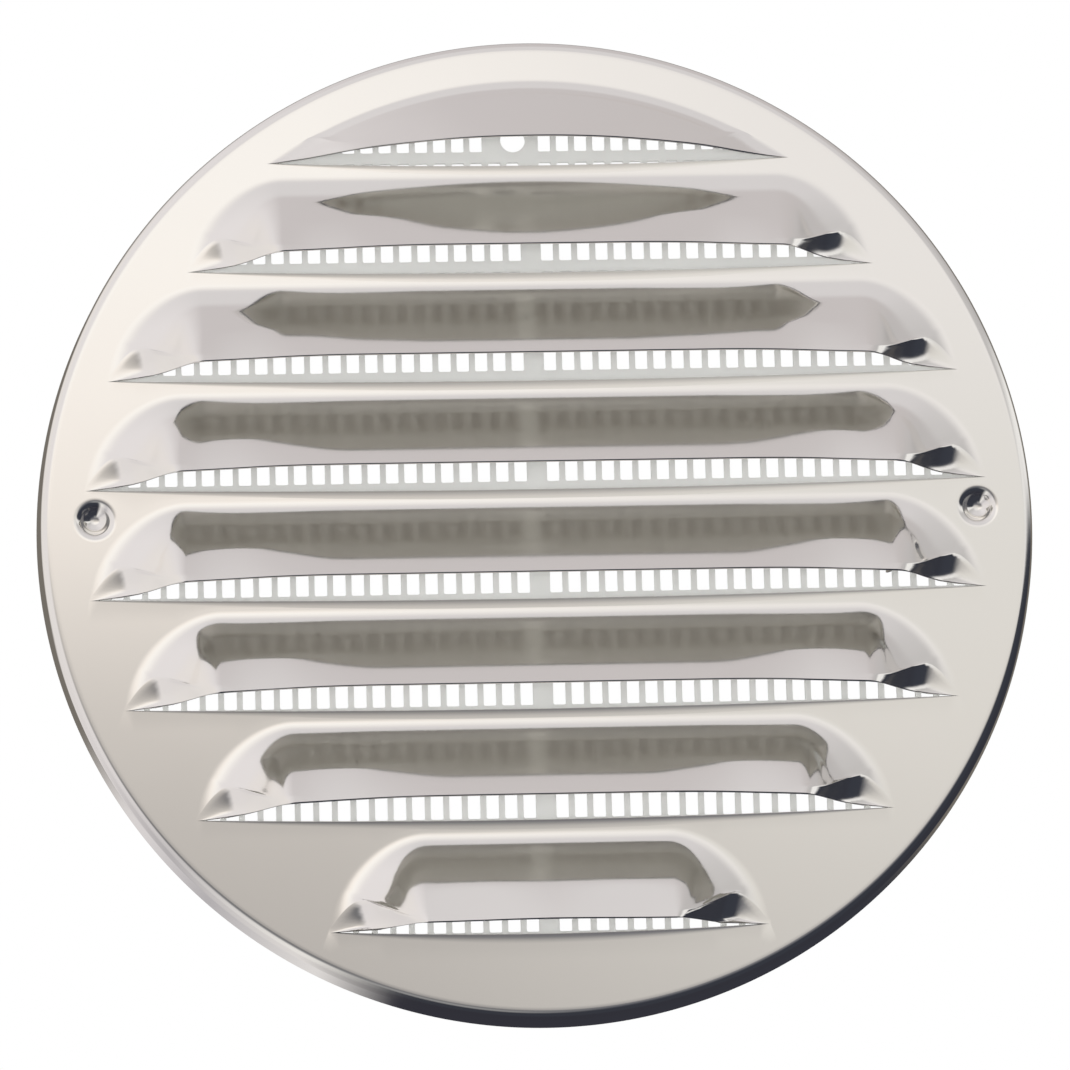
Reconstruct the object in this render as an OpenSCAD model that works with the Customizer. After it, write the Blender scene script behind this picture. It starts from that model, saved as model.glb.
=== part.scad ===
// Round exhaust vent grille: a pressed sheet metal cover with eight louvres, an insect screen
// behind it and two leaf springs that hold it in a duct.
// The wall lies in the plane Y = 0, the duct runs to +Y, the face looks to -Y and Z is up.

/* [Cover] */
// Largest diameter, at the edge that meets the wall
overall_d = 200; // [196:1:206]
// Distance from the wall to the face of the plate
rim_h = 8; // [7:0.5:12]
// Thickness of the sheet
sheet_t = 0.5; // [0.4:0.1:0.7]
// Outer radius of the bend between plate and rim
shoulder_r = 2; // [1.5:0.1:3]
// How much wider the rim is at the wall than at the bend
rim_flare = 0.7; // [0:0.1:1.5]

/* [Louvres] */
// Distance from a cut up to the bend where its hood starts
louvre_run = 19.4; // [17:0.1:21]
// Distance from that bend up to the ends of the next cut
land = 2.75; // [2.3:0.05:4]
// The same distance for the first hood, whose bend is an arch
arch_run = 16.8; // [15:0.1:20]
// Shortest half length of a cut, below which there is no further louvre
least_half = 35; // [30:1:40]
// Height of a lip over the plate
louvre_h = 10.4; // [9:0.1:11.5]
// How much less a hood slopes at its lip than at its root, in degrees
slope_fall = 5; // [2:0.5:8]
// How far the middle of a lip stands above the ends of its cut
lip_rise = 2.8; // [1.8:0.1:4]
// Length over which a lip curves down to each end of its cut
lip_ramp = 42; // [25:1:50]
// How far the plate's own edge sags below the ends of a cut
cut_sag = 1.1; // [0.5:0.1:1.6]
// Inner radius of the bend between plate and hood
root_r = 9; // [6:0.5:11]
// Distance from the rim to the ends of the cuts
end_gap = 9.5; // [8:0.1:11]
// Distance from the rim to the arch of the first hood
arch_gap = 8.8; // [8:0.1:10]
// How much shorter the second louvre is at each end
second_short = 4.8; // [0:0.1:8]
// How much longer the last louvre is at each end
last_long = 3.4; // [0:0.1:4]
// How much lower than its even place the last louvre sits
last_drop = 0.5; // [0:0.1:1]
// How much lower the last lip stands than the others
last_lip_drop = 1.85; // [0:0.05:2]

/* [Clinched cups] */
// Distance from the rim to the middle of a cup
cup_gap = 11.8; // [11:0.1:13]
// Height of the cups over the centre of the plate
cup_z = 2.1; // [1:0.1:3]
// Diameter of a cup's mouth
cup_d = 7; // [6.4:0.1:7.4]
// Diameter of a cup's shank behind the plate
shank_d = 5.8; // [5.2:0.1:6]
// Diameter of the button that spreads behind the spring
button_d = 7; // [6.6:0.1:8]
// Thickness of that button
button_t = 0.9; // [0.7:0.1:1.2]

/* [Insect screen] */
// Thickness of the screen
screen_t = 1; // [0.8:0.1:1.5]
// Gap between the screen's edge and the bend of the rim
screen_gap = 0.3; // [0.2:0.1:1]
// Width of a slot
slot_w = 2.5; // [1.5:0.1:2.8]
// Height of a slot
slot_h = 5.3; // [4:0.1:6]
// Distance between slots in a row
slot_pitch = 3.67; // [3.5:0.01:4.5]
// Distance between rows of slots
row_pitch = 7.53; // [7.2:0.01:9]
// Width of the solid bar in the middle of each row
bar_w = 4; // [3:0.1:6]
// Width of the solid margin round the slots
screen_margin = 3.7; // [3:0.1:8]
// Diameter of the round hole near the top
peg_d = 5; // [4:0.1:6]
// How far that hole lies to the right of the middle
peg_x = -3.1; // [-4:0.1:4]
// Distance from the rim down to the middle of that hole
peg_gap = 21.2; // [20:0.1:24]
// Distance kept between the middle of that hole and the middle of a slot
peg_clear = 5; // [4.5:0.1:6]
// Distance kept between the middle of a cup and the middle of a slot
cup_clear = 7; // [6:0.5:9]

/* [Springs] */
// How far the rim reaches past the inside of the duct
flange_w = 20; // [18:0.5:24]
// How far the free spring reaches past the duct's wall
preload = 2; // [0.5:0.5:4]
// Thickness of the spring strip
spring_t = 0.5; // [0.4:0.1:0.8]
// Width of the spring strip
spring_w = 10; // [9:0.5:12]
// Length of the leg from the foot to the knee
leg_l = 30; // [20:1:40]
// Angle at which the leg leans towards the duct's wall
leg_lean = 9; // [5:1:15]
// Length from the knee to the free end
tail_l = 13; // [8:1:20]
// Angle at which the tail leans back from the duct's wall
tail_lean = 22; // [10:1:30]
// Bend radius at the middle of the strip
bend_r = 2; // [1.5:0.1:3]

/* [Hidden] */
$fn = 120;

lap = 0.6;              // how far a hood or cup runs into the plate
fit = 0.1;              // clearance of a hole round a shank
tail_u = 0.5;           // where an untrimmed hood ends, above its cut
steepest = 75;          // more than the slope of any hood, in degrees
mouth_r = 0.8;          // round edge of a cup
floor_r = 0.4;          // bevel at the floor of a cup
cup_wall = 0.35;        // wall of a cup's drawn shank
turn_n = 6;             // steps in a bend
blade_n = 8;            // steps in a hood's slope
arc_n = 16;             // steps in the end of an opening
lip_n = 48;             // steps along a lip

rim_r = overall_d / 2;
bend_top_r = rim_r - rim_flare - shoulder_r;
plate_back = rim_h - sheet_t;
end_r = rim_r - end_gap;
arch_r = rim_r - arch_gap;
duct_r = rim_r - flange_w;
pitch = louvre_run + land;
first_cut = arch_r - arch_run;
last = floor((first_cut + sqrt(end_r * end_r - least_half * least_half)) / pitch);
reach = louvre_run + louvre_h;
screen_r = bend_top_r - screen_gap;
screen_back = plate_back - screen_t;
foot_back = screen_back - spring_t;
cup_x = rim_r - cup_gap;
peg = [peg_x, rim_r - peg_gap];

// Louvre i: height of its cut, half its length, rise of its lip and run of its hood
function cut_z(i) = first_cut - i * pitch - (i == last ? last_drop : 0);
function half_l(i) =
    i == 0 ? sqrt(arch_r * arch_r - pow(cut_z(0), 2))
    : sqrt(end_r * end_r - pow(cut_z(i), 2)) - (i == 1 ? second_short : 0) + (i == last ? last_long : 0);
function rise(i) = lip_rise - (i == last ? last_lip_drop : 0);
function run(i) = i == 0 ? arch_run : louvre_run;

// A hood's section is a root bend and one long arc, whose slope falls from a at the root by
// slope_fall at the lip. The slope a is found by halving, so that the lip comes out at louvre_h.
function arc_r(span, a) = (span - root_r * sin(a)) / (sin(a) - sin(a - slope_fall));
function lip_h(span, a) = root_r * (1 - cos(a)) + arc_r(span, a) * (cos(a - slope_fall) - cos(a));
function root_slope(span, low = slope_fall, high = steepest, n = 24) =
    let (mid = (low + high) / 2)
    n == 0 ? mid
    : lip_h(span, mid) < louvre_h ? root_slope(span, mid, high, n - 1)
    : root_slope(span, low, mid, n - 1);

// Points of a section as [distance above the cut, height over the plate, slope]
function hood_line(run, rise) =
    let (
        a = root_slope(run - rise),
        r = arc_r(run - rise, a),
        bend = [for (i = [0:turn_n]) let (b = a * i / turn_n)
            [run - root_r * sin(b), root_r * (1 - cos(b)), b]],
        foot = bend[turn_n],
        blade = [for (i = [1:blade_n]) let (b = a - slope_fall * i / blade_n)
            [foot[0] - r * (sin(a) - sin(b)), foot[1] + r * (cos(b) - cos(a)), b]],
        lip = blade[blade_n - 1],
        end = [tail_u, lip[1] + (lip[0] - tail_u) * tan(lip[2]), lip[2]]
    )
    concat([[run + lap, 0, 0]], bend, blade, [end]);

// A line of [x, y, slope] made into a strip as thick as the sheet, on the side below it
module sheet_section(line) {
    n = len(line);
    front = [for (p = line) [p[0], rim_h + p[1]]];
    back = [for (i = [n - 1:-1:0]) let (p = line[i])
        [p[0] - sheet_t * sin(p[2]), rim_h + p[1] - sheet_t * cos(p[2])]];
    polygon(concat(front, back));
}

module both_sides() {
    children();
    mirror([1, 0, 0]) children();
}

// Points of an arc about [x, y]
function arc(x, y, r, from, to) =
    [for (i = [0:arc_n]) let (a = from + (to - from) * i / arc_n) [x + r * cos(a), y + r * sin(a)]];

// Height of a lip over the ends of its cut: level in the middle, curving down to both ends
function lip_z(x, half, rise) =
    let (ramp = min(lip_ramp, half - 1), d = max(0, abs(x) - half + ramp))
    rise * (1 - pow(d / ramp, 2));
module under_lip(half, rise) {
    end = half + lap;
    lip = [for (i = [0:lip_n]) let (x = end * (2 * i / lip_n - 1)) [x, lip_z(x, half, rise)]];
    polygon(concat(lip, [[end, -reach], [-end, -reach]]));
}

// The plate's opening: its own sagging edge below, and an edge in the middle of the lap above
function sag(half) =
    [for (i = [0:lip_n - 1]) let (x = half * (2 * i / lip_n - 1)) [x, -cut_sag * (1 - pow(x / half, 2))]];
module straight_opening(half) {
    straight = half - louvre_run;
    r = louvre_run + lap / 2;
    polygon(concat(sag(half + lap / 2), arc(straight, 0, r, 0, 90), arc(-straight, 0, r, 90, 180)));
}
module arched_opening() {
    r = arch_r + lap / 2;
    start = asin(cut_z(0) / r);
    polygon(concat(sag(r * cos(start)), arc(0, -cut_z(0), r, start, 180 - start)));
}

// Hoods, each over its cut along the X axis
module straight_hood(i) {
    straight = half_l(i) - louvre_run;
    rotate([90, 0, 90]) translate([0, 0, -straight]) linear_extrude(2 * straight)
        sheet_section(hood_line(louvre_run, rise(i)));
    both_sides() translate([straight, 0, 0]) rotate_extrude(angle = 90)
        sheet_section(hood_line(louvre_run, rise(i)));
}
module arched_hood() {
    half_angle = asin(half_l(0) / arch_r);
    line = [for (p = hood_line(run(0), rise(0))) [p[0] + cut_z(0), p[1], p[2]]];
    translate([0, -cut_z(0), 0]) rotate(90 - half_angle) rotate_extrude(angle = 2 * half_angle)
        sheet_section(line);
}
module hood(i) {
    difference() {
        if (i == 0) arched_hood();
        else straight_hood(i);
        translate([0, 0, plate_back - 1]) linear_extrude(reach) under_lip(half_l(i), rise(i));
    }
}

// Plate, bend and rim in one turned section
module shell_section() {
    bend_z = rim_h - shoulder_r;
    inner_r = shoulder_r - sheet_t;
    steps = [0:turn_n];
    outer = [for (i = steps) let (a = 90 - 90 * i / turn_n)
        [bend_top_r + shoulder_r * cos(a), bend_z + shoulder_r * sin(a)]];
    inner = [for (i = steps) let (a = 90 * i / turn_n)
        [bend_top_r + inner_r * cos(a), bend_z + inner_r * sin(a)]];
    polygon(concat([[0, rim_h]], outer, [[rim_r, 0], [rim_r - sheet_t, 0]], inner, [[0, plate_back]]));
}

// A cup is drawn through screen and spring, and its floor is spread into a button behind them
module cup_section() {
    back = foot_back - button_t;
    button_r = button_d / 2;
    shank_r = shank_d / 2;
    wall_r = shank_r - cup_wall;
    mouth = [for (i = [0:turn_n]) let (a = 90 + 90 * i / turn_n)
        [cup_d / 2 + mouth_r * cos(a), rim_h - mouth_r + mouth_r * sin(a)]];
    polygon(concat(
        [[0, back], [button_r - floor_r, back], [button_r, back + floor_r], [button_r, foot_back],
         [shank_r, foot_back], [shank_r, plate_back], [cup_d / 2 + lap, plate_back], [cup_d / 2 + lap, rim_h]],
        mouth,
        [[wall_r, back + sheet_t + floor_r], [wall_r - floor_r, back + sheet_t], [0, back + sheet_t]]
    ));
}

module at_cups() {
    for (side = [-1, 1])
        translate([side * cup_x, cup_z, 0]) children();
}

module louvre_cover() color("gainsboro") rotate([90, 0, 0]) {
    difference() {
        rotate_extrude() shell_section();
        for (i = [0:last])
            translate([0, cut_z(i), plate_back - 1]) linear_extrude(sheet_t + 2) {
                if (i == 0) arched_opening();
                else straight_opening(half_l(i));
            }
        at_cups() translate([0, 0, plate_back - 1]) cylinder(d = cup_d, h = sheet_t + 2);
    }
    for (i = [0:last])
        translate([0, cut_z(i), 0]) hood(i);
    at_cups() rotate_extrude() cup_section();
}

// One row of slots, whose ends stay inside the solid margin
module slot_row(z) {
    field_r = screen_r - screen_margin;
    row_half = sqrt(field_r * field_r - pow(abs(z) + slot_h / 2, 2));
    count = floor((row_half - bar_w / 2 + slot_pitch - slot_w) / slot_pitch);
    for (side = [-1, 1], i = [0:count - 1]) {
        middle = [side * (bar_w / 2 + slot_w / 2 + i * slot_pitch), z];
        cup = [side * cup_x, cup_z];
        if (norm(middle - peg) > peg_clear && norm(middle - cup) > cup_clear)
            translate(middle) square([slot_w, slot_h], center = true);
    }
}

module insect_screen() color("whitesmoke") rotate([90, 0, 0]) {
    rows = floor((screen_r - screen_margin - slot_h) / row_pitch);
    translate([0, 0, screen_back]) linear_extrude(screen_t) difference() {
        circle(screen_r);
        for (k = [0:rows - 1], side = [-1, 1])
            slot_row(side * (k + 0.5) * row_pitch);
        translate(peg) circle(d = peg_d);
        at_cups() circle(d = shank_d + 2 * fit);
    }
}

// Points of a bend in a strip, as [x, y, heading], turning left from p for a positive angle
function strip_bend(p, turn) =
    [for (i = [0:turn_n]) let (a = turn * i / turn_n, s = sign(turn) * bend_r)
        [p[0] + s * (sin(p[2] + a) - sin(p[2])), p[1] - s * (cos(p[2] + a) - cos(p[2])), p[2] + a]];
function strip_step(p, length) = [p[0] + length * cos(p[2]), p[1] + length * sin(p[2]), p[2]];

// Side view of the right spring: foot behind the screen, leg, knee and tail
module spring_section() {
    knee_x = duct_r + preload - spring_t / 2;
    foot_z = screen_back - spring_t / 2;
    root_x = knee_x - (leg_l - bend_r) * sin(leg_lean);
    tip = [cup_x + spring_w / 2, foot_z, 180];
    root = strip_bend([root_x, foot_z, 180], 90 + leg_lean);
    knee = strip_bend(strip_step(root[turn_n], leg_l), -leg_lean - tail_lean);
    line = concat([tip], root, knee, [strip_step(knee[turn_n], tail_l)]);
    n = len(line);
    half = spring_t / 2;
    left = [for (p = line) [p[0] - half * sin(p[2]), p[1] + half * cos(p[2])]];
    right = [for (i = [n - 1:-1:0]) let (p = line[i]) [p[0] + half * sin(p[2]), p[1] - half * cos(p[2])]];
    polygon(concat(left, right));
}
module right_spring() {
    intersection() {
        difference() {
            translate([0, cup_z + spring_w / 2, 0]) rotate([90, 0, 0])
                linear_extrude(spring_w) spring_section();
            translate([cup_x, cup_z, 0]) cylinder(d = shank_d + 2 * fit, h = rim_h);
        }
        union() {
            translate([cup_x, cup_z, 0]) cylinder(d = spring_w, h = rim_h);
            translate([0, cup_z - spring_w / 2, -3 * reach]) cube([cup_x, spring_w, 4 * reach]);
        }
    }
}
module left_spring_clip() color("slategray") rotate([90, 0, 0]) mirror([1, 0, 0]) right_spring();
module right_spring_clip() color("slategray") rotate([90, 0, 0]) right_spring();

louvre_cover();
insect_screen();
left_spring_clip();
right_spring_clip();
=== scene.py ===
from math import asin, ceil, cos, pi, radians, sin, sqrt

import bpy
import numpy as np
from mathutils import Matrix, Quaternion, Vector
from mathutils.geometry import delaunay_2d_cdt


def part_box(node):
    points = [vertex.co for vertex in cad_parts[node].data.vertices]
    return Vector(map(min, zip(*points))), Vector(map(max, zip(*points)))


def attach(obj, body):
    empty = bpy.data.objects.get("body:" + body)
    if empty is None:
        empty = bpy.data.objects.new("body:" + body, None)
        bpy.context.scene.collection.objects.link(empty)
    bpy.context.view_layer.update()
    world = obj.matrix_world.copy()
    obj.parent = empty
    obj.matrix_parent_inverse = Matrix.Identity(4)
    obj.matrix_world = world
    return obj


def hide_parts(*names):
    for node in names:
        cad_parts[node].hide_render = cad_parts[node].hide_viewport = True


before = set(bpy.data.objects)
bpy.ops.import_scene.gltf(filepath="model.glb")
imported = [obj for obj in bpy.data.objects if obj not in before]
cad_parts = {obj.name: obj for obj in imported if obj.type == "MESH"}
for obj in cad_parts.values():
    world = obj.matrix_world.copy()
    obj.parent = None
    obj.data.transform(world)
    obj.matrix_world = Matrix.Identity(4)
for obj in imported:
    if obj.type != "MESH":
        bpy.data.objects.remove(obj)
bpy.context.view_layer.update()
mm = 0.001
coverLow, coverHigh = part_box("louvre_cover")
screenLow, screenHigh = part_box("insect_screen")
print("frame loaded")


# Small helpers for node trees
class Value:  # a socket that takes part in sums
    def __init__(self, tree, socket):
        self.tree = tree
        self.socket = socket

    def math(self, operation, *others):
        node = self.tree.nodes.new("ShaderNodeMath")
        node.operation = operation
        for slot, item in zip(node.inputs, (self, *others)):
            plug(self.tree, slot, item)
        return Value(self.tree, node.outputs[0])

    def __add__(self, other):
        return self.math("ADD", other)

    def __sub__(self, other):
        return self.math("SUBTRACT", other)

    def __mul__(self, other):
        return self.math("MULTIPLY", other)

    def __truediv__(self, other):
        return self.math("DIVIDE", other)

    def squared(self):
        return self.math("MULTIPLY", self)

    def sqrt(self):
        return self.math("SQRT")

    def atLeast(self, other):
        return self.math("MAXIMUM", other)

    def atMost(self, other):
        return self.math("MINIMUM", other)

    def rises(self, low, high):  # 0 below low, 1 above high, smooth between
        node = self.tree.nodes.new("ShaderNodeMapRange")
        node.interpolation_type = "SMOOTHSTEP"
        plug(self.tree, node.inputs["Value"], self)
        plug(self.tree, node.inputs["From Min"], low)
        plug(self.tree, node.inputs["From Max"], high)
        return Value(self.tree, node.outputs[0])


def plug(tree, slot, item):
    if isinstance(item, Value):
        tree.links.new(item.socket, slot)
    elif isinstance(item, bpy.types.NodeSocket):
        tree.links.new(item, slot)
    else:
        slot.default_value = item


def addNode(tree, kind, inputs=None, **settings):
    node = tree.nodes.new(kind)
    for name, setting in settings.items():
        setattr(node, name, setting)
    for name, item in (inputs or {}).items():
        plug(tree, node.inputs[name], item)
    return node


def linear(red, green, blue):  # a colour as seen on screen, 0 to 255
    def decode(c):
        c /= 255
        return c / 12.92 if c <= 0.04045 else ((c + 0.055) / 1.055) ** 2.4
    return (decode(red), decode(green), decode(blue), 1)


def newMaterial(name):
    material = bpy.data.materials.new(name)
    material.use_nodes = True
    tree = material.node_tree
    tree.nodes.clear()
    return material, tree


def meshObject(name, points, faces):
    mesh = bpy.data.meshes.new(name)
    mesh.from_pydata(points, [], faces)
    mesh.update()
    thing = bpy.data.objects.new(name, mesh)
    bpy.context.scene.collection.objects.link(thing)
    return thing


# Materials
steelLooks = {
    "polishedSteel": {"colour": linear(251, 249, 246), "roughness": 0.1, "streakSize": (260, 260, 35),
                      "streakDepth": 0.00001},
    "dullSteel": {"colour": linear(232, 229, 223), "roughness": 0.42, "streakSize": (900, 900, 60),
                  "streakDepth": 0.00002},
}


def makeSteel(name):
    look = steelLooks[name]
    material, tree = newMaterial(name)
    place = addNode(tree, "ShaderNodeTexCoord").outputs["Object"]
    stretched = addNode(tree, "ShaderNodeMapping", {"Vector": place, "Scale": look["streakSize"]})
    streaks = addNode(tree, "ShaderNodeTexNoise", {"Vector": stretched.outputs[0], "Detail": 4.0, "Scale": 1.0})
    clouds = addNode(tree, "ShaderNodeTexNoise", {"Vector": place, "Detail": 3.0, "Scale": 30.0})
    cloud = Value(tree, clouds.outputs[0])
    bump = addNode(tree, "ShaderNodeBump", {
        "Height": streaks.outputs[0], "Strength": 0.35, "Distance": look["streakDepth"]})
    shader = addNode(tree, "ShaderNodeBsdfPrincipled", {
        "Base Color": look["colour"],
        "Metallic": 1.0,
        "Roughness": (cloud - 0.5) * 0.08 + look["roughness"],
        "Normal": bump.outputs[0],
    })
    out = addNode(tree, "ShaderNodeOutputMaterial")
    tree.links.new(shader.outputs[0], out.inputs[0])
    return material


screenLook = {"shades": (linear(228, 228, 226), linear(238, 238, 236)), "roughness": 0.5, "glow": 0.6}


def makePlastic():
    material, tree = newMaterial("mouldedPlastic")
    place = addNode(tree, "ShaderNodeTexCoord").outputs["Object"]
    grain = addNode(tree, "ShaderNodeTexNoise", {"Vector": place, "Detail": 3.0, "Scale": 900.0})
    shade = addNode(tree, "ShaderNodeTexNoise", {"Vector": place, "Detail": 2.0, "Scale": 25.0})
    colour = addNode(tree, "ShaderNodeMixRGB", {
        "Fac": shade.outputs[0], "Color1": screenLook["shades"][0], "Color2": screenLook["shades"][1]})
    bump = addNode(tree, "ShaderNodeBump", {"Height": grain.outputs[0], "Strength": 0.2, "Distance": 0.00003})
    shader = addNode(tree, "ShaderNodeBsdfPrincipled", {
        "Base Color": colour.outputs[0], "Roughness": screenLook["roughness"], "Normal": bump.outputs[0]})
    through = addNode(tree, "ShaderNodeBsdfTranslucent", {"Color": colour.outputs[0]})
    mix = addNode(tree, "ShaderNodeMixShader", {0: screenLook["glow"], 1: shader.outputs[0], 2: through.outputs[0]})
    out = addNode(tree, "ShaderNodeOutputMaterial")
    tree.links.new(mix.outputs[0], out.inputs[0])
    return material


polished = makeSteel("polishedSteel")
dull = makeSteel("dullSteel")
plastic = makePlastic()
print("materials made")


# The cover, in mm on the plate: x to the right, y up, and the height towards the viewer
cover = {
    "rimRadius": coverHigh.x / mm,
    "rimHeight": 8.0,
    "sheet": 0.5,
    "bendRadius": 2.0,
    "flare": 0.7,
    "louvres": 8,
    "pitch": 22.15,
    "fieldHeight": -3.125,
    "run": 19.4,
    "lipHeight": 10.4,
    "slopeFall": radians(5),
    "lipRise": 2.8,
    "lipRamp": 45.0,
    "cutSag": 1.1,
    "rootRadius": 9.0,
    "archRootRadius": 4.0,
    "endRootRadius": 15.0,
    "endTurn": radians(50),
    "foldZone": 7.0,
    "foldShare": 0.45,
    "wingShare": 0.8,
    "archFold": 0.5,
    "endPower": 1.8,
    "endGap": 9.5,
    "archGap": 8.8,
    "secondShorter": 4.8,
    "lastLonger": 3.4,
    "lastDrop": 0.5,
    "lastLipDrop": 1.85,
    "cupGap": 11.8,
    "cupHeight": 2.1,
}


# The ends of a louvre, by the distance from its tip: a triangular wing is bent down over the lip, as high
# as "wing" and lowered by the share "sunk", and further in the lip itself folds down by the slope "fold"
ends = {
    "columns": ("from tip", "wing", "sunk", "curl", "fold"),
    "table": [
        (0, 0.1, 0.1, 1.8, 0), (1, 1.7, 0.4, 1.8, 0), (2.5, 3.6, 0.64, 1.8, 0), (4.5, 5.4, 0.74, 1.8, 0),
        (6.5, 6.3, 0.76, 1.6, 0), (9, 5.0, 0.6, 1.2, 0), (12, 3.3, 0.37, 0.7, 0), (14.5, 2.1, 0.18, 0.2, 0.01),
        (17, 1.6, 0.05, 0, 0.04), (19, 1.4, 0, 0, 0.08), (24, 1.2, 0, 0, 0.16), (30, 1.2, 0, 0, 0.17),
        (36, 1.2, 0, 0, 0.1), (48, 1.2, 0, 0, 0),
    ],
    "ease": 1.2,
}


def louvreSizes(i):
    c = cover
    last = c["louvres"] - 1
    cut = c["fieldHeight"] + (last / 2 - i) * c["pitch"] - (c["lastDrop"] if i == last else 0)
    endRadius = c["rimRadius"] - c["endGap"]
    archRadius = c["rimRadius"] - c["archGap"]
    if i == 0:
        half = sqrt(archRadius ** 2 - cut ** 2)
        run = archRadius - cut
    else:
        half = sqrt(endRadius ** 2 - cut ** 2)
        half += (c["lastLonger"] if i == last else 0) - (c["secondShorter"] if i == 1 else 0)
        run = c["run"]
    rise = c["lipRise"] - (c["lastLipDrop"] if i == last else 0)
    root = c["archRootRadius"] if i == 0 else c["rootRadius"]
    return {"i": i, "cut": cut, "half": half, "run": run, "rise": rise, "arch": archRadius, "root": root,
            "fold": c["archFold"] if i == 0 else 1}


def bladeArc(span, root):  # slope at the root and radius of the blade, for a lip at its full height
    low, high = cover["slopeFall"], radians(75)
    for _ in range(30):
        slope = (low + high) / 2
        lip = slope - cover["slopeFall"]
        blade = (span - root * sin(slope)) / (sin(slope) - sin(lip))
        height = root * (1 - cos(slope)) + blade * (cos(lip) - cos(slope))
        low, high = (slope, high) if height < cover["lipHeight"] else (low, slope)
    return slope, blade


def lipLine(l, x):  # the lip's height over its cut
    ramp = min(cover["lipRamp"], l["half"] - 1)
    d = max(0, abs(x) - l["half"] + ramp)
    return l["rise"] * max(0, 1 - (d / ramp) ** 2)


def lipFold(l, x, y):  # distance over the lip, and what lowers the blade there
    c = cover
    fromTip = max(0, l["half"] - abs(x))
    if l["i"] == 0:
        tall = sqrt(l["arch"] ** 2 - min(x * x, l["arch"] ** 2)) - l["cut"]
    else:
        power = c["endPower"]
        past = max(0, l["run"] - fromTip)
        tall = max(0, l["run"] ** power - past ** power) ** (1 / power)
    zone = max(0.05, min(c["foldZone"], c["foldShare"] * tall))
    wing = max(0.05, min(between(fromTip, "wing"), c["wingShare"] * tall))
    over = max(0, y - l["cut"] - lipLine(l, x))
    fold, sunk, curl = (between(fromTip, column) for column in ("fold", "sunk", "curl"))
    return over, zone, fold * l["fold"], wing, sunk * l["fold"], curl


def between(x, column):  # a value from the table of ends, with its corners eased
    table = np.array(ends["table"])
    places = x + ends["ease"] * np.array((-1, -0.5, 0, 0.5, 1))
    return float(np.interp(places, table[:, 0], table[:, ends["columns"].index(column)]).mean())


flatFact = (0, 0, 1, 1, 0, 1, 0, 1, 0, 0)


class Blank:  # the flat sheet before it is pressed: points on the plate with what the press needs
    def __init__(self):
        self.places = {}
        self.points = []
        self.facts = []
        self.faces = []

    def point(self, x, y, fact=flatFact):
        key = (round(x, 4), round(y, 4))
        if key not in self.places:
            self.places[key] = len(self.points)
            self.points.append((x, y))
            self.facts.append(fact)
        return self.places[key]

    def face(self, corners):
        ring = [c for n, c in enumerate(corners) if c != corners[n - 1]]
        if len(set(ring)) > 2:
            self.faces.append(ring)


blankGrid = {"column": 1.9, "turn": 30, "wing": 9, "blade": 12, "root": 12, "bladeShare": 0.66, "laps": (0.35, 0.8),
             "plate": 3.6, "rim": 360}


def hoodRows(start, crease, reach):  # distances above the cut line, from the lip to the second lap
    g = blankGrid
    past = crease + min(0.1, (reach - crease) / 4)
    bladeEnd = max(start + (reach - start) * g["bladeShare"], past + (reach - past) * 0.3)
    wing = [start + (crease - start) * k / (g["wing"] - 1) for k in range(g["wing"])]
    blade = [past + (bladeEnd - past) * k / g["blade"] for k in range(g["blade"])]
    root = [bladeEnd + (reach - bladeEnd) * k / g["root"] for k in range(g["root"] + 1)]
    return wing + blade + root + [reach + lap for lap in g["laps"]]


def hoodColumns(l):  # each is a base point, a direction, where the plate's middle lies on it, its reach and its root
    g = blankGrid
    columns = []
    if l["i"] == 0:
        widest = asin(l["half"] / l["arch"])
        count = ceil(2 * l["half"] / g["column"])
        for k in range(count + 1):
            a = widest * (1 - 2 * k / count)
            columns.append(((0, 0), (sin(a), cos(a)), -l["cut"], l["run"], l["root"]))
        return columns
    straight = l["half"] - l["run"]
    count = ceil(2 * straight / g["column"])
    power = cover["endPower"]
    turn = []
    for k in range(g["turn"]):
        a = pi / 2 * k / g["turn"]
        reach = l["run"] / (cos(a) ** power + sin(a) ** power) ** (1 / power)
        t = min(1, (pi / 2 - a) / cover["endTurn"])
        root = l["root"] + (cover["endRootRadius"] - l["root"]) * t * t * (3 - 2 * t)  # softer round the end
        turn.append((cos(a), sin(a), reach, root))
    for x, y, reach, root in turn:
        columns.append(((straight, l["cut"]), (x, y), 0, reach, root))
    for k in range(count + 1):
        columns.append(((straight * (1 - 2 * k / count), l["cut"]), (0, 1), 0, l["run"], l["root"]))
    for x, y, reach, root in reversed(turn):
        columns.append(((-straight, l["cut"]), (-x, y), 0, reach, root))
    return columns


def crossing(below, reach):  # the distance at which a column leaves what lies below
    low, high = 0.0, reach
    for _ in range(30):
        u = (low + high) / 2
        low, high = (u, high) if below(u) else (low, u)
    return low


cutEdge = {"rows": (0, 0.3, 0.7, 1.2, 1.8), "lift": 0.1}


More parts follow.
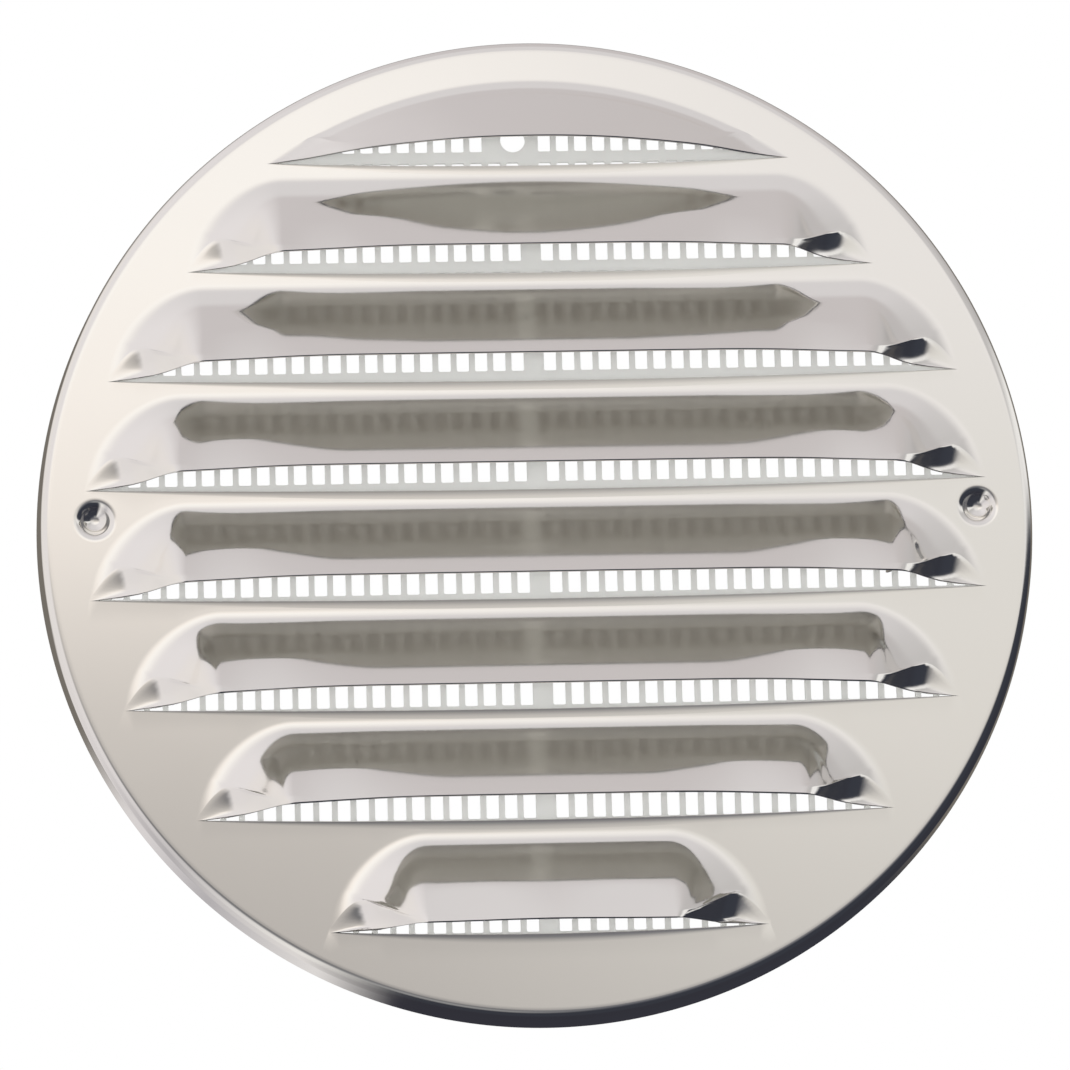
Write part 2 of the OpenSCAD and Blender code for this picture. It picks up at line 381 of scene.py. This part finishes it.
def layHood(blank, depths, l):
    grid = []
    for base, way, offset, reach, root in hoodColumns(l):
        def place(u):
            return base[0] + way[0] * (u - offset), base[1] + way[1] * (u - offset)

        def inWing(u):
            over, _, _, wing, *_ = lipFold(l, *place(u))
            return over < wing

        slope, bladeRadius = bladeArc(l["run"] - l["rise"], root)
        start = crossing(lambda u: place(u)[1] - l["cut"] <= lipLine(l, place(u)[0]), reach)
        column = []
        for u in hoodRows(start, crossing(inWing, reach), reach):
            fact = (l["run"] * (1 - u / reach), slope, bladeRadius, root, *lipFold(l, *place(u)))
            column.append(blank.point(*place(u), fact))
        grid.append(column)
    for near, far in zip(grid, grid[1:]):
        for k in range(len(near) - 1):
            blank.face([near[k], near[k + 1], far[k + 1], far[k]])
    rightEnd, leftEnd = grid[0], grid[-1]
    tip = len(grid[0]) - 1 - len(blankGrid["laps"])
    outer = [column[-1] for column in grid]
    return outer + leftEnd[-2:tip - 1:-1] + layEdge(blank, depths, l, leftEnd[tip], rightEnd[tip]) + rightEnd[tip:-1]


def layEdge(blank, depths, l, left, right):  # the plate's own edge under a cut, turned out a little
    e = cutEdge
    count = ceil(2 * l["half"] / blankGrid["column"])
    xTip = blank.points[right][0]
    rows = []
    for drop in e["rows"]:
        row = [left]
        for k in range(1, count):
            x = xTip * (2 * k / count - 1)
            belly = 1 - (x / xTip) ** 2
            p = blank.point(x, l["cut"] - (cover["cutSag"] + drop) * belly)
            depths[p] = e["lift"] * belly * (1 - drop / e["rows"][-1]) ** 2
            row.append(p)
        rows.append(row + [right])
    for upper, lower in zip(rows, rows[1:]):
        for k in range(count):
            blank.face([upper[k], lower[k], lower[k + 1], upper[k + 1]])
    return rows[-1][1:-1]


cup = {
    "front": [(5.0, 0), (4.6, 0), (4.3, 0), (4.1, -0.01), (3.9, -0.035), (3.7, -0.08), (3.5, -0.15), (3.3, -0.25),
              (3.1, -0.39), (2.9, -0.57), (2.7, -0.78), (2.45, -1.04), (2.15, -1.31), (1.8, -1.56), (1.4, -1.77),
              (0.95, -1.93), (0.5, -2.01)],
    "button": [(0, 5.1), (3.0, 5.1), (3.33, 5.17), (3.5, 5.35), (3.5, 6.0), (2.9, 6.0), (2.86, 6.55), (2.3, 6.2),
               (1.5, 5.9), (0, 5.75)],
    "sides": 48,
}


def layCup(blank, depths, side):
    middle = (side * (cover["rimRadius"] - cover["cupGap"]), cover["cupHeight"])
    n = cup["sides"]
    rings = []
    for r, depth in cup["front"]:
        ring = []
        for k in range(n):
            a = 2 * pi * k / n
            p = blank.point(middle[0] + r * cos(a), middle[1] + r * sin(a))
            depths[p] = depth
            ring.append(p)
        rings.append(ring)
    for outer, inner in zip(rings, rings[1:]):
        for k in range(n):
            blank.face([outer[k], outer[(k + 1) % n], inner[(k + 1) % n], inner[k]])
    centre = blank.point(*middle)
    depths[centre] = cup["front"][-1][1]
    for k in range(n):
        blank.face([rings[-1][k], rings[-1][(k + 1) % n], centre])
    return rings[0]


def cupButtons():  # closed shells: the cups' ends, spread behind the screen and the springs' feet
    points, faces = [], []
    n = cup["sides"]
    for side in (-1, 1):
        previous = None
        for r, height in cup["button"]:
            ring = []
            for k in range(n if r else 1):
                a = 2 * pi * k / n
                ring.append(len(points))
                points.append(((side * (cover["rimRadius"] - cover["cupGap"]) + r * cos(a)) * mm, -height * mm,
                               (cover["cupHeight"] + r * sin(a)) * mm))
            ring = ring * (n // len(ring))
            for k in range(n if previous else 0):
                m = (k + 1) % n
                faces.append(list(dict.fromkeys([previous[k], previous[m], ring[m], ring[k]])))
            previous = ring
    return points, faces


def inside(places, loop):  # which places lie in a closed loop
    x, y = places[:, 0], places[:, 1]
    result = np.zeros(len(places), bool)
    for (ax, ay), (bx, by) in zip(loop, np.roll(loop, -1, axis=0)):
        crosses = (ay > y) != (by > y)
        with np.errstate(divide="ignore", invalid="ignore"):
            edgeX = ax + (y - ay) * (bx - ax) / (by - ay)
        result ^= crosses & (x < edgeX)
    return result


def layPlate(blank, loops):
    g = blankGrid
    bendTop = cover["rimRadius"] - cover["flare"] - cover["bendRadius"]
    rings = []
    for r in (bendTop, bendTop - 0.6, bendTop - 1.6):
        ring = [blank.point(r * cos(2 * pi * k / g["rim"]), r * sin(2 * pi * k / g["rim"])) for k in range(g["rim"])]
        rings.append(ring)
    for outer, inner in zip(rings, rings[1:]):
        for k in range(g["rim"]):
            m = (k + 1) % g["rim"]
            blank.face([outer[k], outer[m], inner[m], inner[k]])
    edges = []
    for loop in [rings[-1]] + loops:
        edges += [(a, b) for a, b in zip(loop, loop[1:] + loop[:1])]
    used = sorted({p for edge in edges for p in edge})
    order = {p: n for n, p in enumerate(used)}
    fixed = np.array([blank.points[p] for p in used])
    step = g["plate"]
    count = int(bendTop / step) + 2
    spread = np.array([((a + (b % 2) / 2) * step, b * step * sqrt(0.75))
                       for a in range(-count, count) for b in range(-count - 6, count + 6)])
    spread = spread[np.hypot(spread[:, 0], spread[:, 1]) < bendTop - 1.6 - step / 2]
    for loop in loops:
        spread = spread[~inside(spread, np.array([blank.points[p] for p in loop]))]
    nearest = np.array([np.min(np.hypot(*(fixed - s).T)) for s in spread])
    spread = spread[nearest > step / 2.2]
    flat = [Vector(p) for p in fixed] + [Vector(p) for p in spread]
    made, _, triangles, origins, _, _ = delaunay_2d_cdt(
        flat, [(order[a], order[b]) for a, b in edges], [], 0, 1e-5)
    ids = []
    for n, p in enumerate(made):
        source = min(origins[n]) if origins[n] else len(flat)
        ids.append(used[source] if source < len(used) else blank.point(p.x, p.y))
    triangles = [t for t in triangles if len(t) == 3]
    middles = np.array([[sum(made[v][axis] for v in t) / 3 for axis in (0, 1)] for t in triangles])
    keep = np.hypot(middles[:, 0], middles[:, 1]) < bendTop - 1.6
    for loop in loops:
        keep &= ~inside(middles, np.array([blank.points[p] for p in loop]))
    for t, good in zip(triangles, keep):
        if good:
            blank.face([ids[v] for v in t])
    return rings[0]


def layBlank():
    blank = Blank()
    depths = {}
    loops = [layHood(blank, depths, louvreSizes(i)) for i in range(cover["louvres"])]
    loops += [layCup(blank, depths, side) for side in (-1, 1)]
    edge = layPlate(blank, loops)
    return blank, depths, edge


def rimPlaces():  # radius and height of the bend and rim, from the plate outwards
    c = cover
    bend = c["rimRadius"] - c["flare"] - c["bendRadius"]
    low = c["rimHeight"] - c["bendRadius"]
    arcs = [(bend + c["bendRadius"] * sin(pi / 2 * k / 10), low + c["bendRadius"] * cos(pi / 2 * k / 10))
            for k in range(1, 11)]
    return arcs + [(c["rimRadius"] - c["flare"] * (1 - t), low * (1 - t)) for t in (0.12, 0.4, 0.7, 0.9, 1)]


def drawRim(blank, depths, edge):
    heights = {}
    n = blankGrid["rim"]
    previous = edge
    for r, height in rimPlaces():
        ring = []
        for k in range(n):
            a = 2 * pi * k / n
            p = len(blank.points)
            blank.points.append((r * cos(a), r * sin(a)))
            blank.facts.append(flatFact)
            heights[p] = height - cover["rimHeight"]
            ring.append(p)
        for k in range(n):
            m = (k + 1) % n
            blank.face([ring[k], ring[m], previous[m], previous[k]])
        previous = ring
    depths.update(heights)


# The press: lifts each point of the blank by how far it lies inside a hood
pressInputs = {"Wing curl": 1.0, "Waviness": 0.00008, "Wave size": 14.0}
pressFacts = {"depthInHood": mm, "rootSlope": 1, "bladeRadius": mm, "rootRadius": mm,
              "overLip": mm, "foldZone": mm, "foldSlope": 1, "wingHeight": mm, "wingSunk": 1, "wingCurl": 1}


def buildPress(material):
    tree = bpy.data.node_groups.new("pressLouvres", "GeometryNodeTree")
    face = tree.interface
    face.new_socket("Geometry", in_out="INPUT", socket_type="NodeSocketGeometry")
    for name in pressInputs:
        face.new_socket(name, in_out="INPUT", socket_type="NodeSocketFloat")
    face.new_socket("Geometry", in_out="OUTPUT", socket_type="NodeSocketGeometry")
    entry = addNode(tree, "NodeGroupInput")
    curl, wave, waveSize = (Value(tree, entry.outputs[name]) for name in pressInputs)

    def fact(name):
        return Value(tree, addNode(tree, "GeometryNodeInputNamedAttribute", {"Name": name}).outputs["Attribute"])

    depth, slope, blade, root, over, zone, fold, wing, sunk, bulge = (fact(name) for name in pressFacts)
    rootLength = root * slope.math("SINE")
    inBend = depth.atLeast(0.0).atMost(rootLength)
    bendRise = root - (root.squared() - inBend.squared()).sqrt()
    onBlade = (depth - rootLength).atLeast(0.0)
    sine = slope.math("SINE") - onBlade / blade.atLeast(0.0001)
    bladeRise = blade * ((sine.squared() * -1.0 + 1.0).sqrt() - slope.math("COSINE"))
    noise = addNode(tree, "ShaderNodeTexNoise", {
        "Vector": addNode(tree, "GeometryNodeInputPosition").outputs[0], "Scale": waveSize, "Detail": 1.0})
    upWing = (over / wing).atMost(1.0)
    winged = (upWing * -1.0 + 1.0) * (upWing * bulge * curl + 1.0) * sunk
    folded = (zone - over.atMost(zone)) * fold
    ripple = (Value(tree, noise.outputs[0]) - 0.5) * wave
    height = (bendRise + bladeRise) * (winged * -1.0 + 1.0) - folded + ripple
    lift = addNode(tree, "ShaderNodeCombineXYZ", {"Y": height * -1.0})
    pressed = addNode(tree, "GeometryNodeSetPosition", {"Geometry": entry.outputs[0], "Offset": lift.outputs[0]})
    real = addNode(tree, "GeometryNodeRealizeInstances", {"Geometry": pressed.outputs[0]})
    painted = addNode(tree, "GeometryNodeSetMaterial", {"Geometry": real.outputs[0], "Material": material})
    leave = addNode(tree, "NodeGroupOutput")
    tree.links.new(painted.outputs[0], leave.inputs[0])
    return tree


def runTree(thing, tree, values):  # applies a node tree to an object and keeps the plain mesh
    modifier = thing.modifiers.new("tree", "NODES")
    modifier.node_group = tree
    for item in tree.interface.items_tree:
        if item.in_out == "INPUT" and item.name in values:
            modifier[item.identifier] = values[item.name]
    bpy.context.view_layer.update()
    evaluated = thing.evaluated_get(bpy.context.evaluated_depsgraph_get())
    mesh = bpy.data.meshes.new_from_object(evaluated)
    thing.modifiers.remove(modifier)
    thing.data = mesh
    return thing


def pressedCover():
    blank, depths, edge = layBlank()
    drawRim(blank, depths, edge)
    print("blank laid:", len(blank.points), "points", len(blank.faces), "faces")
    points = [(x * mm, -(cover["rimHeight"] + depths.get(p, 0)) * mm, y * mm)
              for p, (x, y) in enumerate(blank.points)]
    thing = meshObject("blankSheet", points, blank.faces)
    for column, (name, unit) in enumerate(pressFacts.items()):
        attribute = thing.data.attributes.new(name, "FLOAT", "POINT")
        attribute.data.foreach_set("value", np.array([fact[column] * unit for fact in blank.facts], np.float32))
    runTree(thing, buildPress(polished), pressInputs)
    thing.name = "pressedCover"
    return thing


def thicken(thing, thickness):  # a dull back skin, rounded cut edges and the cups' buttons
    mesh = thing.data
    count = len(mesh.vertices)
    front = np.empty(count * 3)
    mesh.vertices.foreach_get("co", front)
    front = front.reshape(-1, 3)
    normals = np.empty(count * 3, np.float32)
    mesh.vertices.foreach_get("normal", normals)
    normals = normals.reshape(-1, 3).astype(float)
    faces = [list(p.vertices) for p in mesh.polygons]
    back = front - normals * thickness
    directed = {}
    for f in faces:
        for a, b in zip(f, f[1:] + f[:1]):
            directed[(a, b)] = True
    border = [(a, b) for a, b in directed if (b, a) not in directed]
    points = [front, back]
    newFaces = faces + [[v + count for v in reversed(f)] for f in faces]
    used = sorted({v for edge in border for v in edge})
    outward = {v: np.zeros(3) for v in used}
    for a, b in border:
        side = np.cross(front[b] - front[a], normals[a] + normals[b])
        side /= max(np.linalg.norm(side), 1e-12)
        outward[a] += side
        outward[b] += side
    extra = []
    rounds = {}
    for v in used:
        way = outward[v] / max(np.linalg.norm(outward[v]), 1e-12)
        rounds[v] = []
        for share, bulge in ((0.14, 0.07), (0.5, 0.1), (0.86, 0.07)):
            rounds[v].append(2 * count + len(extra))
            extra.append(front[v] + (back[v] - front[v]) * share + way * bulge * mm)
    for a, b in border:
        left = [a] + rounds[a] + [a + count]
        right = [b] + rounds[b] + [b + count]
        for k in range(4):
            newFaces.append([left[k + 1], right[k + 1], right[k], left[k]])
    points.append(np.array(extra))
    isBack = [0] * len(faces) + [1] * len(faces) + [0] * (len(newFaces) - 2 * len(faces))
    shellPoints, shells = cupButtons()
    first = sum(len(part) for part in points)
    newFaces += [[v + first for v in shell] for shell in shells]
    points = np.vstack(points + [np.array(shellPoints)])
    name = thing.name
    result = bpy.data.meshes.new(name)
    result.from_pydata(points.tolist(), [], newFaces)
    result.update()
    result.shade_smooth()
    result.set_sharp_from_angle(angle=radians(42))
    result.materials.append(polished)
    result.materials.append(dull)
    result.polygons.foreach_set("material_index", isBack + [1] * len(shells))
    thing.data = result
    return thing


coverPiece = thicken(pressedCover(), cover["sheet"] * mm)
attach(coverPiece, "root")
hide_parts("louvre_cover")
print("cover pressed:", len(coverPiece.data.polygons), "faces")


# The insect screen
screen = {
    "Radius": screenHigh.x,
    "Thickness": screenHigh.y - screenLow.y,
    "Front": screenLow.y,
    "Slot width": 2.5 * mm,
    "Slot height": 5.3 * mm,
    "Slot pitch": 3.67 * mm,
    "Row pitch": 7.53 * mm,
    "Bar width": 4.0 * mm,
    "Margin": 3.7 * mm,
    "Corner": 0.3 * mm,
    "Peg diameter": 5.0 * mm,
    "Peg x": -3.1 * mm,
    "Peg z": 78.8 * mm,
    "Peg clearance": 5.0 * mm,
    "Cup x": (cover["rimRadius"] - cover["cupGap"]) * mm,
    "Cup z": cover["cupHeight"] * mm,
    "Cup hole": 6.0 * mm,
    "Cup clearance": 7.0 * mm,
}
screenCounts = {"Columns": 52, "Rows": 22}


def buildScreen(material):
    tree = bpy.data.node_groups.new("slottedScreen", "GeometryNodeTree")
    face = tree.interface
    face.new_socket("Geometry", in_out="INPUT", socket_type="NodeSocketGeometry")
    for name in screen:
        face.new_socket(name, in_out="INPUT", socket_type="NodeSocketFloat")
    for name in screenCounts:
        face.new_socket(name, in_out="INPUT", socket_type="NodeSocketInt")
    face.new_socket("Geometry", in_out="OUTPUT", socket_type="NodeSocketGeometry")
    entry = addNode(tree, "NodeGroupInput")
    size = {name: Value(tree, entry.outputs[name]) for name in (*screen, *screenCounts)}

    # A point for each slot: half the columns on each side of the bar
    columns, rows = size["Columns"], size["Rows"]
    total = columns * rows
    points = addNode(tree, "GeometryNodePoints", {"Count": total})
    index = Value(tree, addNode(tree, "GeometryNodeInputIndex").outputs[0])
    column = index.math("MODULO", columns)
    row = (index / columns).math("FLOOR")
    fromMiddle = column - (columns - 1.0) * 0.5
    side = fromMiddle.math("SIGN")
    step = fromMiddle.math("ABSOLUTE") - 0.5
    across = side * (size["Bar width"] * 0.5 + size["Slot width"] * 0.5 + step * size["Slot pitch"])
    up = (row - (rows - 1.0) * 0.5) * size["Row pitch"]
    place = addNode(tree, "ShaderNodeCombineXYZ", {"X": across, "Y": up})
    placed = addNode(tree, "GeometryNodeSetPosition", {"Geometry": points.outputs[0], "Position": place.outputs[0]})

    # Slots that would run into the margin, the peg hole or a cup are left out
    cornerX = across.math("ABSOLUTE") + size["Slot width"] * 0.5
    cornerY = up.math("ABSOLUTE") + size["Slot height"] * 0.5
    corner = (cornerX.squared() + cornerY.squared()).sqrt()
    pegAway = ((across - size["Peg x"]).squared() + (up - size["Peg z"]).squared()).sqrt()
    cupAway = ((across.math("ABSOLUTE") - size["Cup x"]).squared() + (up - size["Cup z"]).squared()).sqrt()
    drop = corner.math("GREATER_THAN", size["Radius"] - size["Margin"])
    drop = drop.atLeast(size["Peg clearance"].math("GREATER_THAN", pegAway))
    drop = drop.atLeast(size["Cup clearance"].math("GREATER_THAN", cupAway))
    kept = addNode(tree, "GeometryNodeDeleteGeometry", {"Geometry": placed.outputs[0], "Selection": drop})

    # Outlines: a rounded slot on each point, the holes and the disc's edge
    slot = addNode(tree, "GeometryNodeCurvePrimitiveQuadrilateral", {
        "Width": size["Slot width"], "Height": size["Slot height"]})
    rounded = addNode(tree, "GeometryNodeFilletCurve", mode="POLY")
    plug(tree, rounded.inputs["Curve"], slot.outputs[0])
    plug(tree, rounded.inputs["Radius"], size["Corner"])
    plug(tree, rounded.inputs["Count"], 2)
    slots = addNode(tree, "GeometryNodeInstanceOnPoints", {"Points": kept.outputs[0], "Instance": rounded.outputs[0]})
    outlines = addNode(tree, "GeometryNodeJoinGeometry")

    def circle(radius, x, y, count):
        ring = addNode(tree, "GeometryNodeCurvePrimitiveCircle", {"Radius": radius, "Resolution": count})
        middle = addNode(tree, "ShaderNodeCombineXYZ", {"X": x, "Y": y})
        moved = addNode(tree, "GeometryNodeTransform", {"Geometry": ring.outputs[0], "Translation": middle.outputs[0]})
        tree.links.new(moved.outputs[0], outlines.inputs[0])

    circle(size["Radius"], 0.0, 0.0, 240)
    circle(size["Peg diameter"] * 0.5, size["Peg x"], size["Peg z"], 40)
    circle(size["Cup hole"] * 0.5, size["Cup x"], size["Cup z"], 40)
    circle(size["Cup hole"] * 0.5, size["Cup x"] * -1.0, size["Cup z"], 40)
    tree.links.new(slots.outputs[0], outlines.inputs[0])
    lines = addNode(tree, "GeometryNodeRealizeInstances", {"Geometry": outlines.outputs[0]})
    sheet = addNode(tree, "GeometryNodeFillCurve", {"Curve": lines.outputs[0]}, mode="NGONS")
    stand = addNode(tree, "GeometryNodeTransform", {
        "Geometry": sheet.outputs[0], "Rotation": (radians(90), 0, 0)})
    front = addNode(tree, "ShaderNodeCombineXYZ", {"Y": size["Front"]})
    atFront = addNode(tree, "GeometryNodeTransform", {"Geometry": stand.outputs[0], "Translation": front.outputs[0]})
    through = addNode(tree, "ShaderNodeCombineXYZ", {"Y": size["Thickness"]})
    wall = addNode(tree, "GeometryNodeExtrudeMesh", {
        "Mesh": atFront.outputs[0], "Offset": through.outputs[0], "Individual": False})
    both = addNode(tree, "GeometryNodeJoinGeometry")
    tree.links.new(wall.outputs[0], both.inputs[0])
    tree.links.new(atFront.outputs[0], both.inputs[0])
    merged = addNode(tree, "GeometryNodeMergeByDistance", {"Geometry": both.outputs[0], "Distance": 1e-6})
    real = addNode(tree, "GeometryNodeRealizeInstances", {"Geometry": merged.outputs[0]})
    painted = addNode(tree, "GeometryNodeSetMaterial", {"Geometry": real.outputs[0], "Material": material})
    leave = addNode(tree, "NodeGroupOutput")
    tree.links.new(painted.outputs[0], leave.inputs[0])
    return tree


screenPiece = meshObject("slottedScreen", [(0, 0, 0)], [])
runTree(screenPiece, buildScreen(plastic), {**screen, **screenCounts})
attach(screenPiece, "root")
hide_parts("insect_screen")
print("screen cut:", len(screenPiece.data.polygons), "faces")

for name in ("left_spring_clip", "right_spring_clip"):
    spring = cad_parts[name]
    spring.data.materials.clear()
    spring.data.materials.append(dull)


# Camera
view = {
    "distance": 1.1865,
    "azimuth": radians(-3.557),
    "elevation": radians(-10.543),
    "roll": radians(-1.593),
    "focalPixels": 5950.9,
    "centrePixel": (538.6, 523.2),
    "frame": 1070,
}


def makeCamera():
    v = view
    away = Vector((sin(v["azimuth"]) * cos(v["elevation"]), -cos(v["azimuth"]) * cos(v["elevation"]),
                   sin(v["elevation"])))
    camera = bpy.data.objects.new("camera", bpy.data.cameras.new("camera"))
    bpy.context.scene.collection.objects.link(camera)
    camera.location = Vector((0, -cover["rimHeight"] * mm, 0)) + away * v["distance"]
    turn = away.to_track_quat("Z", "Y") @ Quaternion((0, 0, 1), v["roll"])
    camera.rotation_mode = "QUATERNION"
    camera.rotation_quaternion = turn
    lens = camera.data
    lens.sensor_width = 36
    lens.lens = v["focalPixels"] / v["frame"] * lens.sensor_width
    lens.shift_x = (v["frame"] / 2 - v["centrePixel"][0]) / v["frame"]
    lens.shift_y = (v["centrePixel"][1] - v["frame"] / 2) / v["frame"]
    bpy.context.scene.camera = camera


makeCamera()


# Studio
studio = {
    "floorHeight": -0.6,
    "tentRadius": 3.0,
    "worldLight": 0.75,
}
lamps = {"softbox": ((-0.8, -1.6, 1.2), 1.5, 24), "lowFill": ((0, -1.9, -0.55), 1.0, 34)}


def makeFloor():
    s = 4.0
    z = studio["floorHeight"]
    floor = meshObject("floor", [(-s, -s, z), (s, -s, z), (s, s, z), (-s, s, z)], [(0, 1, 2, 3)])
    material, tree = newMaterial("paleFloor")
    shader = addNode(tree, "ShaderNodeBsdfPrincipled", {"Base Color": (0.86, 0.86, 0.86, 1), "Roughness": 0.9})
    out = addNode(tree, "ShaderNodeOutputMaterial")
    tree.links.new(shader.outputs[0], out.inputs[0])
    floor.data.materials.append(material)
    floor.visible_glossy = False


def makeWorld():
    world = bpy.data.worlds.new("studioWorld")
    bpy.context.scene.world = world
    world.use_nodes = True
    tree = world.node_tree
    tree.nodes.clear()
    path = addNode(tree, "ShaderNodeLightPath").outputs
    seen = Value(tree, path["Is Camera Ray"]).atLeast(path["Is Glossy Ray"]).atLeast(path["Is Transmission Ray"])
    strength = seen * (1 - studio["worldLight"]) + studio["worldLight"]
    light = addNode(tree, "ShaderNodeBackground", {"Color": (1, 1, 1, 1), "Strength": strength})
    out = addNode(tree, "ShaderNodeOutputWorld")
    tree.links.new(light.outputs[0], out.inputs[0])


# The room, which shows in the steel. Ahead it is told by elevation, on the left and on the right.
# Round the sides, near the front and far from it, it is told by an angle: 0 to the right, 90 at the top.
room = {
    "aheadLeft": [
        (-90, (90, 92, 98)), (-30, (170, 170, 170)), (-12, (130, 130, 132)), (-4, (112, 112, 114)),
        (3, (174, 170, 167)), (8, (201, 196, 191)), (11, (250, 243, 236)), (15, (255, 252, 248)),
        (24, (240, 236, 233)), (30, (224, 221, 222)), (90, (218, 215, 217)),
    ],
    "aheadRight": [
        (-90, (70, 72, 80)), (-20, (80, 82, 90)), (-4, (120, 120, 124)), (3, (198, 195, 191)), (7.5, (222, 219, 214)),
        (11, (225, 223, 219)), (14, (236, 233, 231)), (24, (234, 231, 229)), (30, (220, 218, 219)),
        (90, (218, 215, 217)),
    ],
    "near": [
        (-180, (226, 222, 221)), (-160, (222, 218, 219)), (-145, (196, 193, 195)), (-122, (236, 234, 231)),
        (-108, (54, 56, 64)), (8, (54, 57, 66)), (14, (226, 224, 223)), (22, (236, 235, 233)), (32, (190, 188, 187)),
        (60, (213, 210, 211)), (95, (216, 213, 214)), (126, (230, 226, 227)), (180, (228, 224, 223)),
    ],
    "far": [
        (-180, (228, 224, 222)), (-160, (216, 212, 213)), (-145, (180, 177, 180)), (-122, (224, 221, 220)),
        (-108, (50, 50, 58)), (8, (52, 54, 62)), (14, (236, 235, 234)), (24, (240, 239, 237)), (31, (186, 184, 184)),
        (60, (196, 191, 191)), (95, (202, 197, 198)), (120, (226, 222, 223)), (140, (232, 227, 224)),
        (180, (228, 224, 222)),
    ],
    "back": (116, 111, 104),
}


def rampNode(tree, fac, stops, low, high):
    ramp = addNode(tree, "ShaderNodeValToRGB", {"Fac": (fac - low) / (high - low)})
    marks = ramp.color_ramp.elements
    while len(marks) < len(stops):
        marks.new(0.5)
    for mark, (angle, colour) in zip(marks, stops):
        mark.position = (angle - low) / (high - low)
        mark.color = linear(*colour)
    return ramp.outputs[0]


def mixColour(tree, fac, first, second):
    return addNode(tree, "ShaderNodeMixRGB", {"Fac": fac, "Color1": first, "Color2": second}).outputs[0]


def makeRoom():
    rows, columns = 48, 96
    r = studio["tentRadius"]
    points, faces = [], []
    for i in range(rows + 1):
        for j in range(columns):
            polar, around = pi * i / rows, 2 * pi * j / columns
            points.append((r * sin(polar) * cos(around), r * sin(polar) * sin(around), r * cos(polar)))
    for i in range(rows):
        for j in range(columns):
            a, b = i * columns + j, i * columns + (j + 1) % columns
            faces.append((a, b, b + columns, a + columns))
    tent = meshObject("studioRoom", points, faces)
    material, tree = newMaterial("roomColours")
    place = addNode(tree, "ShaderNodeTexCoord").outputs["Object"]
    way = addNode(tree, "ShaderNodeVectorMath", {0: place}, operation="NORMALIZE")
    parts = addNode(tree, "ShaderNodeSeparateXYZ", {0: way.outputs[0]}).outputs
    across, away, up = (Value(tree, part) for part in parts)
    toDegrees = 180 / pi
    elevation = up.math("ARCSINE") * toDegrees
    around = up.math("ARCTAN2", across) * toDegrees
    offAxis = (away * -1.0).math("ARCCOSINE") * toDegrees
    left, right = (rampNode(tree, elevation, room[name], -90.0, 90.0) for name in ("aheadLeft", "aheadRight"))
    near, far = (rampNode(tree, around, room[name], -180.0, 180.0) for name in ("near", "far"))
    sides = mixColour(tree, offAxis.rises(60.0, 80.0), near, far)
    front = mixColour(tree, across.rises(-0.02, 0.14), left, right)
    ahead = mixColour(tree, offAxis.rises(17.0, 36.0), front, sides)
    behind = away.rises(0.1, 0.5) * up.rises(-0.1, 0.02) * (up.rises(0.5, 0.9) * -1.0 + 1.0)
    whole = mixColour(tree, behind, ahead, linear(*room["back"]))
    glow = addNode(tree, "ShaderNodeEmission", {"Color": whole, "Strength": 1.0})
    out = addNode(tree, "ShaderNodeOutputMaterial")
    tree.links.new(glow.outputs[0], out.inputs[0])
    tent.data.materials.append(material)
    tent.visible_camera = False
    tent.visible_diffuse = False
    tent.visible_shadow = False
    tent.visible_transmission = False


def makeLamp(name, place, size, power):  # soft boxes light the screen, the steel mirrors the room alone
    lamp = bpy.data.lights.new(name, "AREA")
    lamp.energy = power
    lamp.size = size
    thing = bpy.data.objects.new(name, lamp)
    thing.location = place
    thing.rotation_euler = (-thing.location).to_track_quat("-Z", "Y").to_euler()
    thing.visible_glossy = False
    bpy.context.scene.collection.objects.link(thing)


makeFloor()
makeWorld()
makeRoom()
for name, setting in lamps.items():
    makeLamp(name, *setting)
bpy.context.scene.view_settings.view_transform = "Standard"
print("studio ready")
